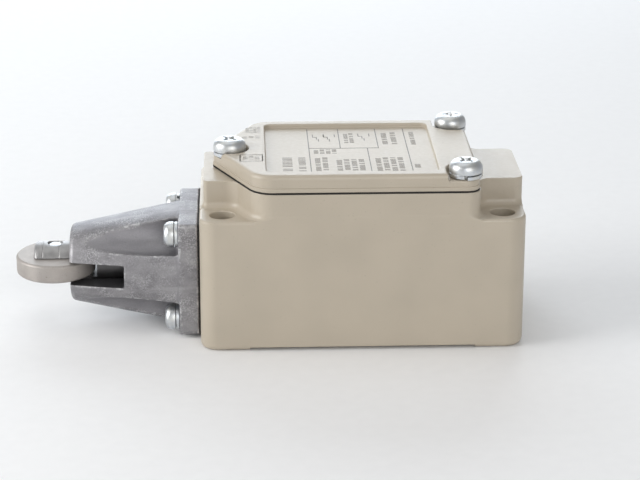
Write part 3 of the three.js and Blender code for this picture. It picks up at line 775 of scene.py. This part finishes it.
def lug_holes():
    """Cutting tools for the mounting holes, rounded at their upper rims."""
    rim = 0.25
    middle = (body_low.x + body_high.x) / 2
    tools = []
    for sx in (-0.5, 0.5):
        for sy in (-0.5, 0.5):
            shape = circle(middle + sx * LUG_PITCH[0], sy * LUG_PITCH[1], LUG_HOLE)
            levels = [(-PAST, 0)] + curve_up(LUG_TOP, rim, 1) + [(LUG_TOP + PAST, rim)]
            tools.append(stack("tool", shape, levels))
    return tools


def thread_holes():
    """Cutting tools for the threaded holes, as plain bores."""
    cover_run = (COVER_THREAD_FLOOR, body_high.z + PAST, 24)
    head_run = (body_low.x - PAST, body_low.x + HEAD_THREAD_DEPTH, 24)
    case_run = (BASE_THREAD_FLOOR, FLOOR + PAST, 24)
    ground_run = (BASE_THREAD_FLOOR, FLOOR + GROUND_BOSS_HEIGHT + PAST, 24)
    tools = [bar("Z", s.x, s.y, COVER_THREAD, *cover_run) for s in cover_screws]
    tools += [bar("X", s.y, s.z, SMALL_THREAD, *head_run) for s in head_screws]
    tools += [bar("Z", s.x, s.y, SMALL_THREAD, *case_run) for s in case_screws]
    return tools + [bar("Z", ground_spot.x, ground_spot.y, GROUND_THREAD, *ground_run)]


def housing_casting():
    shell = unite(housing_base(), housing_tower())
    cut(shell, housing_cavity(), foot_relief(), conduit_entry())
    stem = bar("X", 0, AXIS_HEIGHT, STEM_HOLE, body_low.x - PAST, body_low.x + HEAD_WALL + PAST)
    cut(shell, stem, *lug_holes(), *thread_holes())
    wear(shade(shell), "housing_paint", "housing", "housing")


def conduit_thread():
    """The G 1/2 thread as a ridge wound round the entry."""
    root = CONDUIT_PITCH * 0.44
    crest = 0.12
    section = [(0.25, -root), (0.25, root), (-0.75, crest), (-0.75, -crest)]
    run = (body_high.x - CONDUIT_WALL + PAST, CONDUIT_PITCH, CONDUIT_THREADS)
    centre = (0, CONDUIT_HEIGHT)
    ridge = helix("conduit_thread", section, CONDUIT_RADIUS + 0.6, *run, centre, steps=72)
    wear(shade(ridge), "housing_paint", "housing")


# ---- cover -----------------------------------------------------------

SEAM_HEIGHT = 36.0
COVER_LEAN = 0.12


def cover_outline():
    """The cover's outline, square at the conduit end and pointed at the head end."""
    corners = [(cover_high.x, cover_half, COVER_CORNER), (shoulder_x, cover_half, COVER_SHOULDER)]
    lower = [(x, -y, radius) for x, y, radius in reversed(corners)]
    return rounded(corners + [(apex_x, 0, 2)] + lower, 10)


def cover_plate():
    """The cover up to the level of its screw seats."""
    lean = -COVER_LEAN - 2 * HAIR
    chamfer = 0.12
    levels = [(cover_low.z, -chamfer), (cover_low.z + chamfer, 0)]
    levels += [(SEAM_HEIGHT - 0.05, 0), (SEAM_HEIGHT, lean)]
    levels += [(place, grow + lean) for place, grow in curve_up(SEAT_HEIGHT, 0.4, -1)]
    return stack("cover_casting", cover_outline(), levels)


def corner_seat(screw):
    """A cutting tool for a seat at the conduit end, open to the cover's side and its end."""
    side = math.copysign(1, screw.y)
    inner = screw.y - side * SEAT_INNER
    outer = side * (cover_half + 3 * PAST)
    near, far = screw.x - SEAT_RADIUS, cover_high.x + 3 * PAST
    foot, rim = 0.3, 0.5
    corners = [(near, inner, SEAT_RADIUS), (far, inner, rim), (far, outer, rim), (near, outer, rim)]
    levels = [(SEAM_HEIGHT - 1, -foot)] + curve_down(SEAT_HEIGHT, foot, -1)
    levels += curve_up(cover_high.z, rim, 1) + [(cover_high.z + PAST, rim)]
    return stack("tool", rounded(corners if side > 0 else corners[::-1], 12), levels)


def cover_crown():
    """The thick part of the cover, cut back round the two screws at the conduit end."""
    levels = [(SEAM_HEIGHT - 0.03, -0.6), (SEAM_HEIGHT + 0.03, -COVER_LEAN)]
    rim = curve_up(cover_high.z, COVER_ROUNDING, -1, 6)
    levels += [(place, grow - COVER_LEAN) for place, grow in rim]
    crown = stack("crown", cover_outline(), levels)
    return cut(crown, *[corner_seat(screw) for screw in cover_screws[1:]])


def sunk(shape, floor, top, foot, rim):
    """A cutting tool for a pocket with a filleted floor and a rounded rim."""
    levels = curve_down(floor, foot, -1) + curve_up(top, rim, 1) + [(top + PAST, rim)]
    return stack("tool", shape, levels)


def cover_casting():
    """The cover with its seats, its label field and a pocket on its underside."""
    tip = cover_screws[0]
    seat = [
        (tip.x + SEAT_RADIUS, SEAT_RADIUS, SEAT_RADIUS - 0.02),
        (tip.x - 3 * SEAT_RADIUS, SEAT_RADIUS, 0.5),
    ]
    label = rectangle(label_x - LABEL_LENGTH, label_x, -LABEL_HALF, LABEL_HALF, 1.6, 6)
    pocket = rectangle(shoulder_x + POCKET_INSET, label_x - POCKET_INSET, -POCKET_HALF, POCKET_HALF, 1)
    casting = unite(cover_plate(), cover_crown())
    cut(
        casting,
        sunk(rounded(mirrored(seat), 12), SEAT_HEIGHT, cover_high.z, 0.2, 0.45),
        sunk(label, cover_high.z - LABEL_DEPTH, cover_high.z, 0.3, 0.4),
        stack("tool", pocket, straight(cover_low.z - PAST, cover_low.z + POCKET_DEPTH)),
        *[bar("Z", s.x, s.y, COVER_HOLE, cover_low.z - PAST, cover_high.z + PAST) for s in cover_screws],
    )
    wear(shade(casting), "housing_paint", "housing", "cover")


# ---- label print -----------------------------------------------------

LINE = 0.2
PRINT_HEIGHT = 0.025


def ruled(x0, y0, x1, y1, width=LINE):
    """A straight printed line as the corners of a rectangle."""
    half = width / 2
    return (min(x0, x1) - half, max(x0, x1) + half, min(y0, y1) - half, max(y0, y1) + half)


def text_rows(x0, x1, y0, y1, rows, height=0.62, pitch=0.52):
    """Rows of short strokes that stand for print reading along Y, with gaps as between words."""
    marks = []
    depth = (x1 - x0) / rows
    for row in range(rows):
        x = x0 + depth * (row + 0.5)
        half = depth * height / 2
        for step in range(int((y1 - y0) / pitch)):
            if (step * 5 + row * 3) % 11 not in (0, 7):
                y = y1 - (step + 0.5) * pitch
                marks.append(ruled(x - half, y, x + half, y, pitch * 0.33))
    return marks


def box_outline(x0, y0, x1, y1):
    return [ruled(x0, y0, x1, y0), ruled(x0, y1, x1, y1), ruled(x0, y0, x0, y1), ruled(x1, y0, x1, y1)]


def contact_symbol(x, y):
    """The generic sign of a changeover contact: three leads and a tilted arm, drawn square."""
    return [
        ruled(x, y - 2.4, x, y - 0.9),
        ruled(x - 1.2, y + 0.8, x - 1.2, y + 2.4),
        ruled(x + 1.2, y + 0.8, x + 1.2, y + 2.4),
        ruled(x - 0.4, y - 0.9, x - 0.4, y + 0.6),
        ruled(x - 1.2, y + 0.6, x - 0.4, y + 0.6),
    ]


def label_print():
    grid = [
        ruled(9.3, -14, 9.3, 15.5),
        ruled(16.1, 1.7, 16.1, 15.5),
        ruled(24.3, 1.7, 24.3, 15.5),
        ruled(21.9, -14, 21.9, 1.7),
        ruled(30.5, -14, 30.5, 15.5),
        ruled(9.3, 1.7, 24.3, 1.7),
    ]
    rows = (
        text_rows(3.4, 5.5, -14.3, -3.4, 1, 0.85, 0.95)
        + text_rows(6.8, 8.3, -14.5, -3.6, 1, 0.85, 0.8)
        + text_rows(10.1, 13.2, -14.2, -4.6, 2)
        + text_rows(10.1, 15.3, -2.2, 1, 4)
        + text_rows(17, 19.4, 5, 12.6, 2)
        + text_rows(14.6, 20.9, -13.8, -6, 4)
        + text_rows(22.9, 29.2, -14.4, -5, 4)
        + text_rows(31.4, 32.8, 3, 13.6, 1)
        + text_rows(30.9, 32.6, -12.8, -9.2, 1)
    )
    signs = contact_symbol(11.6, 9.2) + contact_symbol(14, 9.2) + contact_symbol(21.6, 9.6)
    return grid + rows + signs + text_rows(25, 29, 4, 13, 2, 0.5)


def rim_print():
    """Small rows and a ruled box on the rim between the label and the tip screw."""
    rows = text_rows(-4.3, -0.9, 10, 15, 4) + text_rows(-5.2, -0.9, 5.9, 8.4, 3, 0.6)
    return rows + box_outline(-5.5, -9.5, -0.8, -5.1) + text_rows(-5, -1.3, -8.8, -5.8, 3)


def printed(name, marks, height):
    """Printed marks as one mesh of thin plates that stand a hair over a surface."""
    points, faces = [], []
    for x0, x1, y0, y1 in marks:
        first = len(points)
        for z in (height - PRINT_HEIGHT, height + PRINT_HEIGHT):
            points += [(x0, y0, z), (x1, y0, z), (x1, y1, z), (x0, y1, z)]
        faces += [tuple(first + k for k in (3, 2, 1, 0)), tuple(first + k for k in (4, 5, 6, 7))]
        faces += [tuple(first + k for k in (i, (i + 1) % 4, (i + 1) % 4 + 4, i + 4)) for i in range(4)]
    wear(solid(name, points, faces), "housing_paint", "housing", material=ink)


# ---- screws and washers ----------------------------------------------


def pan_screw(name, thread, head, rise, length):
    """A pan-head screw along Z with a cross recess, its bearing face at 0."""
    dome = [(rise * (0.32 + 0.68 * math.sin(t)), head * (0.5 + 0.5 * math.cos(t)))
            for t in [math.pi / 2 * k / 12 for k in range(13)]]
    profile = [(-length, 0), (-length, thread - 0.35), (0.35 - length, thread), (0, thread)]
    profile += [(0, head - 0.12), (0.12, head)] + dome + [(rise, 0)]
    screw = lathe(name, profile)
    depth = rise * CROSS_DEPTH
    wings = []
    for long, short in (CROSS_WING, CROSS_WING[::-1]):
        rings = []
        for z, share in ((rise - depth, 0.62), (rise + 0.3, 1.08)):
            x = head * long * (share if long > short else 1)
            y = head * short * (share if short > long else 1)
            rings.append([(x, y, z), (-x, y, z), (-x, -y, z), (x, -y, z)])
        wings.append(loft("tool", rings))
    well = [(rise - depth - 0.15, 0.1), (rise - depth, head * 0.14), (rise + 0.3, head * 0.34)]
    core = lathe("tool", well, count=16)
    cut(screw, *wings, core)
    return shade(soften(screw, 0.06, 40), 30)


def spring_washer(name, inner, outer, thickness):
    """A split spring washer on Z = 0, its two ends a little apart in height."""
    half = (outer - inner) / 2
    lift = thickness * 0.22
    body = thickness - lift
    soft = 0.08
    section = [
        (-half + soft, 0), (half - soft, 0), (half, soft), (half, body - soft),
        (half - soft, body), (-half + soft, body), (-half, body - soft), (-half, soft),
    ]
    gap = 0.35 / outer
    turns = 1 - gap / math.pi
    washer = helix(name, section, (inner + outer) / 2, 0, lift / turns, turns, (0, 0), "Z", 72, gap)
    return shade(washer, 40)


def placed(source, name, matrix):
    """A copy of a piece, its mesh moved to its place in the frame."""
    mesh = source.data.copy()
    mesh.transform(matrix)
    copy = bpy.data.objects.new(name, mesh)
    bpy.context.scene.collection.objects.link(copy)
    return copy


def at(x, y, z, turn=0, facing_head=False):
    """A place in the frame, upright or facing the head end, turned about the piece's own axis."""
    tilt = Matrix.Rotation(-math.pi / 2, 4, "Y") if facing_head else Matrix.Identity(4)
    return Matrix.Translation(Vector((x, y, z)) * MM) @ tilt @ Matrix.Rotation(math.radians(turn), 4, "Z")


def screw_set(kind, count, thread, facing_head, first_turn, step):
    """Every screw of a kind, and its washer if it has one, in place of the CAD nodes."""
    washers = frame["nodes"].get(f"{kind}_washer_1") is not None
    low, high = span(f"{kind}_screw_1")
    head = (high.z - low.z) / 2 if facing_head else (high.x - low.x) / 2
    seat = seat_level(kind, washers)
    rise = seat - low.x if facing_head else high.z - seat
    length = high.x - seat if facing_head else seat - low.z
    screw = pan_screw(f"{kind}_screw", thread, head, rise, length)
    for i in range(1, count + 1):
        spot = screw_spot(f"{kind}_screw_{i}")
        place = (seat, spot.y, spot.z) if facing_head else (spot.x, spot.y, seat)
        turn = first_turn + step * i
        piece = placed(screw, f"{kind}_screw_{i}_cross", at(*place, turn, facing_head))
        wear(piece, "zinc_plate", "housing", f"{kind}_screw_{i}")
        if washers:
            washer_low, washer_high = span(f"{kind}_washer_{i}")
            thick = washer_high.x - washer_low.x if facing_head else washer_high.z - washer_low.z
            ring = spring_washer(f"{kind}_washer", thread + 0.15, head - 0.05, thick)
            base = (washer_high.x, spot.y, spot.z) if facing_head else (spot.x, spot.y, washer_low.z)
            piece = placed(ring, f"{kind}_washer_{i}_split", at(*base, 70 + 65 * i, facing_head))
            wear(piece, "zinc_plate", "housing", f"{kind}_washer_{i}")
            bpy.data.objects.remove(ring)
    bpy.data.objects.remove(screw)


def seat_level(kind, washers):
    """Where the heads of a kind of screw bear: the far side of the washer, or the face under them."""
    if washers:
        low, high = span(f"{kind}_washer_1")
        return low.x if kind == "head" else high.z
    if kind == "terminal":
        return span("clamp_plate_1")[1].z
    return case_top


def screws():
    """All the screws, with half their thread's size, the first one's turn and the step between."""
    screw_set("cover", 3, 2, False, 8, 41)
    screw_set("head", 4, 1.5, True, 30, 37)
    screw_set("terminal", 4, 1.5, False, 10, 50)
    screw_set("case", 2, 1.5, False, 20, 35)
    ground_low, ground_high = span("ground_screw")
    seat = span("ground_washer")[1].z
    head = (ground_high.x - ground_low.x) / 2
    screw = pan_screw("ground_screw_cross", 1.75, head, ground_high.z - seat, seat - ground_low.z)
    screw.data.transform(at(ground_spot.x, ground_spot.y, seat, 15))
    wear(screw, "zinc_plate", "housing", "ground_screw")


# ---- head ------------------------------------------------------------


def nose_ring(x, grow=0):
    """The nose's outline at x: square at the flange, round at the tip, blended between."""
    share = (flange_front - x) / (flange_front - head_low.x)
    square = FLANGE_HALF + (NOSE_TIP - FLANGE_HALF) * share
    cone = NOSE_ROOT + (NOSE_TIP - NOSE_ROOT) * share
    hardness, count = 26, 128
    ring = []
    for k in range(count):
        turn = 2 * math.pi * k / count
        flat = square / max(abs(math.cos(turn)), abs(math.sin(turn)))
        radius = (flat**-hardness + cone**-hardness) ** (-1 / hardness) + grow
        ring.append((x, radius * math.cos(turn), AXIS_HEIGHT + radius * math.sin(turn)))
    return ring


def head_nose():
    rounding = 0.9
    tip = curve_up(head_low.x, rounding, -1, 6)
    rings = [nose_ring(2 * head_low.x - place, grow) for place, grow in tip]
    rings.reverse()
    count = 18
    run = flange_front - head_low.x - rounding
    rings += [nose_ring(head_low.x + rounding + run * k / count) for k in range(1, count + 1)]
    rings.append(nose_ring(flange_front + PAST))
    return loft("head_casting", rings)


def head_flange():
    low, high = AXIS_HEIGHT - FLANGE_HALF, AXIS_HEIGHT + FLANGE_HALF
    levels = curve_down(flange_front, 0.3, -1) + curve_up(flange_back, 0.2, -1)
    return stack("flange", rectangle(-FLANGE_HALF, FLANGE_HALF, low, high, 0.7, 6), levels, "X")


def scoops():
    """Four cutting tools for the hollows in front of the head screws."""
    end = flange_front - SCOOP_LENGTH
    narrow = SCOOP_TIP - SCOOP_ROOT
    root = reversed(curve_down(flange_front, 0.6, -1))
    levels = [(end - 3, narrow - 1.6), (end - 2, narrow - 0.7), (end, narrow)]
    levels += [(2 * flange_front - place, grow) for place, grow in root]
    tools = []
    for s in head_screws:
        y = math.copysign(SCOOP_OFFSET, s.y)
        z = AXIS_HEIGHT + math.copysign(SCOOP_OFFSET, s.z - AXIS_HEIGHT)
        tools.append(stack("tool", circle(y, z, SCOOP_ROOT, 48), levels, "X"))
    return tools


def head_casting():
    """The head with its scoops, the roller's slot and its bores, edges melted as cast."""
    nose = cut(unite(head_nose(), head_flange()), *scoops())
    slot_root = head_low.x + SLOT_DEPTH
    low, high = AXIS_HEIGHT - SLOT_HALF, AXIS_HEIGHT + SLOT_HALF
    slot = rectangle(head_low.x - 5 * PAST, slot_root, low, high, SLOT_ROUNDING)
    axis = (0, AXIS_HEIGHT)
    through = (flange_front - PAST, flange_back + PAST)
    cut(
        nose,
        stack("tool", slot, straight(-2 * FLANGE_HALF, 2 * FLANGE_HALF), "Y"),
        bar("X", *axis, PLUNGER_HOLE, head_low.x - PAST, flange_back + PAST),
        bar("X", *axis, BUSH_HOLE, bush_front - BUSH_GAP, flange_back + PAST),
        *[bar("X", s.y, s.z, HEAD_SCREW_HOLE, *through, 24) for s in head_screws],
    )
    wear(shade(mark_ridges(cast(nose, 0.2, 2)), 60), "head_casting", "housing", "head_body")


# ---- plunger train ---------------------------------------------------


def plunger_bar():
    """The forked plunger: turned, with fine grooves by its tip, a stem and a bored end."""
    radius = plunger_high.y
    tip = plunger_low.x
    shoulder = span("return_spring")[0].x
    skirt = shoulder + SKIRT_LENGTH
    pocket = span("return_spring")[1].y + 0.1
    profile = [(tip, 0), (tip, radius - 0.6), (tip + 0.2, radius - 0.25), (tip + 0.7, radius)]
    for groove in (1.85, 5.4):
        x = tip + groove
        profile += [(x - 0.12, radius), (x, radius - 0.09), (x + 0.12, radius)]
    profile += [(skirt - 0.3, radius), (skirt, radius - 0.3)]
    profile += [(skirt, pocket), (shoulder, pocket), (shoulder, STEM)]
    profile += [(plunger_high.x - 0.3, STEM), (plunger_high.x, STEM - 0.3), (plunger_high.x, 0)]
    piece = lathe("plunger_bar", profile, "X", (0, AXIS_HEIGHT), 96)
    fork_root = roller_high.x + FORK_PAST_ROLLER
    fork = rectangle(tip - 5 * PAST, fork_root, AXIS_HEIGHT - FORK_HALF, AXIS_HEIGHT + FORK_HALF, 0.3)
    bore_end = plunger_high.x - STEM_BORE_DEPTH
    cut(
        piece,
        stack("tool", fork, straight(-radius - PAST, radius + PAST), "Y"),
        bar("Z", ROLLER_X, 0, PIN_HOLE, plunger_low.z - PAST, plunger_high.z + PAST),
        bar("X", 0, AXIS_HEIGHT, STEM_BORE, bore_end, plunger_high.x + PAST, 32),
    )
    wear(shade(soften(piece, 0.12, 50)), "plunger_steel", "plunger", "plunger")


def pin():
    """The roller's pin, chamfered and slightly domed at both ends."""
    radius = pin_high.y
    low, high = pin_low.z, pin_high.z
    end = [(0, 0), (0.03, radius * 0.5), (0.1, radius - 0.3), (0.32, radius)]
    profile = [(low + up, out) for up, out in end] + [(high - up, out) for up, out in reversed(end)]
    piece = lathe("roller_pin_turned", profile, "Z", (ROLLER_X, 0), 48)
    wear(shade(piece), "zinc_plate", "plunger", "roller_pin")


def roller_wheel():
    """The roller: a disc with chamfered rims, a bore and a shallow turned ring on each face."""
    radius = roller_high.y
    half = (roller_high.z - roller_low.z) / 2
    edge = 0.42
    upper = [
        (half - 0.2, 1.7), (half, 1.9), (half, 3.4), (half - 0.06, 3.55), (half - 0.06, 3.75), (half, 3.9),
        (half, radius - edge - 0.12), (half - 0.06, radius - edge + 0.04),
        (half - edge + 0.06, radius - 0.05), (half - edge - 0.12, radius),
    ]
    lower = [(-place, out) for place, out in reversed(upper)]
    middle = (roller_high.z + roller_low.z) / 2
    profile = [(middle + place, out) for place, out in upper + lower]
    piece = turned_ring("roller_wheel", profile, "Z", (ROLLER_X, 0), 128)
    wear(shade(piece, 40), "roller_steel", "roller", "roller")


def coil(node, wire, coils, body, joint_name=None):
    """A helical spring in place of a CAD tube. With a joint, it gets a mesh of its own."""
    low, high = span(node)
    radius = (high.y - low.y) / 2 - wire
    length = high.x - low.x - 2 * (wire + COIL_GAP)
    centre = (0, (low.z + high.z) / 2)
    section = wire_section(wire)
    piece = helix(node + "_coil", section, radius, low.x + wire + COIL_GAP, length / coils, coils, centre)
    wear(shade(piece, 60), "spring_steel", body, node)
    if joint_name:
        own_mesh(piece)


def springs():
    coil("return_spring", 0.42, 7, "housing", "plunger_slide")
    coil("overtravel_spring", 0.22, 16, "plunger", "plunger_slide")
    coil("carrier_spring", 0.25, 5.5, "housing", "carrier_slide")
    coil("contact_spring", 0.2, 7, "carrier")


# ---- pieces kept from the CAD part -----------------------------------


def dress_cad_nodes():
    """Gives each CAD node that stays in view the material of its slot."""
    for subpart in frame["record"]["subparts"]:
        node = frame["nodes"][subpart["node"]]
        node.data.materials.clear()
        node.data.materials.append(looks[subpart["material_slot"]])


# ---- stage -----------------------------------------------------------

CAMERA_PLACE = (-5.5, -416.9, 170.5)
CAMERA_PITCH = 20.14
CAMERA_YAW = 2.36
CAMERA_ROLL = 0.13
CAMERA_LENS = 114.75
HORIZON_LIGHT = 0.48
OVERHEAD_LIGHT = 0.26
BACK_TINT = (0.86, 0.93, 1)
LIGHT_AIM = (0, 0, 18)
FLOOR_HALF = 15000
FLOOR_DROP = 0.02


def camera():
    data = bpy.data.cameras.new("camera")
    data.lens = CAMERA_LENS
    data.sensor_width = 36
    data.clip_start = 0.01
    eye = bpy.data.objects.new("camera", data)
    turns = [(-CAMERA_YAW, "Z"), (90 - CAMERA_PITCH, "X"), (CAMERA_ROLL, "Z")]
    matrix = Matrix.Translation(Vector(CAMERA_PLACE) * MM)
    for degrees, axis in turns:
        matrix = matrix @ Matrix.Rotation(math.radians(degrees), 4, axis)
    eye.matrix_world = matrix
    bpy.context.scene.collection.objects.link(eye)
    bpy.context.scene.camera = eye


def floor():
    """A wide pale floor with a very faint grain."""
    look = Look("pale_floor", specular=0.2)
    grain = look.noise(3, 2)
    look.colour(look.blended(grain, (0.86, 0.86, 0.86), (0.9, 0.9, 0.9)))
    look.gloss(grain, 0.7, 0.8)
    signs = ((-1, -1), (1, -1), (1, 1), (-1, 1))
    corners = [(x * FLOOR_HALF, y * FLOOR_HALF, -FLOOR_DROP) for x, y in signs]
    plane = solid("floor", corners, [(0, 1, 2, 3)])
    plane.data.materials.append(look.material)


def softbox(name, place, size, power, tint=(1, 1, 1)):
    """A square area light aimed at the middle of the object."""
    data = bpy.data.lights.new(name, "AREA")
    data.size = size * MM
    data.energy = power
    data.color = tint
    lamp = bpy.data.objects.new(name, data)
    lamp.visible_camera = False
    aim = (Vector(LIGHT_AIM) - Vector(place)).to_track_quat("-Z", "Y")
    lamp.matrix_world = Matrix.Translation(Vector(place) * MM) @ aim.to_matrix().to_4x4()
    bpy.context.scene.collection.objects.link(lamp)


def studio_world():
    """A plain white sky, brighter at the horizon than overhead."""
    world = bpy.data.worlds.new("studio")
    world.use_nodes = True
    tree = world.node_tree
    place = tree.nodes.new("ShaderNodeTexCoord")
    parts = tree.nodes.new("ShaderNodeSeparateXYZ")
    rise = tree.nodes.new("ShaderNodeMapRange")
    rise.inputs["From Min"].default_value = 0
    rise.inputs["From Max"].default_value = 0.8
    rise.inputs["To Min"].default_value = HORIZON_LIGHT
    rise.inputs["To Max"].default_value = OVERHEAD_LIGHT
    tree.links.new(place.outputs["Generated"], parts.inputs["Vector"])
    tree.links.new(parts.outputs["Z"], rise.inputs["Value"])
    background = tree.nodes["Background"]
    background.inputs["Color"].default_value = (1, 1, 1, 1)
    tree.links.new(rise.outputs["Result"], background.inputs["Strength"])
    bpy.context.scene.world = world


def lights():
    """Soft light from every side, each box with its place, size and power."""
    softbox("top_box", (-60, 60, 620), 520, 0.75)
    softbox("left_box", (-560, -120, 260), 380, 2.6)
    softbox("front_box", (180, -640, 260), 420, 1.65)
    softbox("back_box", (-40, 700, 260), 700, 4.2, BACK_TINT)
    studio_world()
    bpy.context.scene.view_settings.view_transform = "Standard"


# ---- the object ------------------------------------------------------

camera()
lights()
floor()
dress_cad_nodes()
housing_casting()
conduit_thread()
cover_casting()
printed("label_print", label_print(), cover_high.z - LABEL_DEPTH)
printed("rim_print", rim_print(), cover_high.z - PRINT_HEIGHT)
screws()
head_casting()
plunger_bar()
pin()
roller_wheel()
springs()
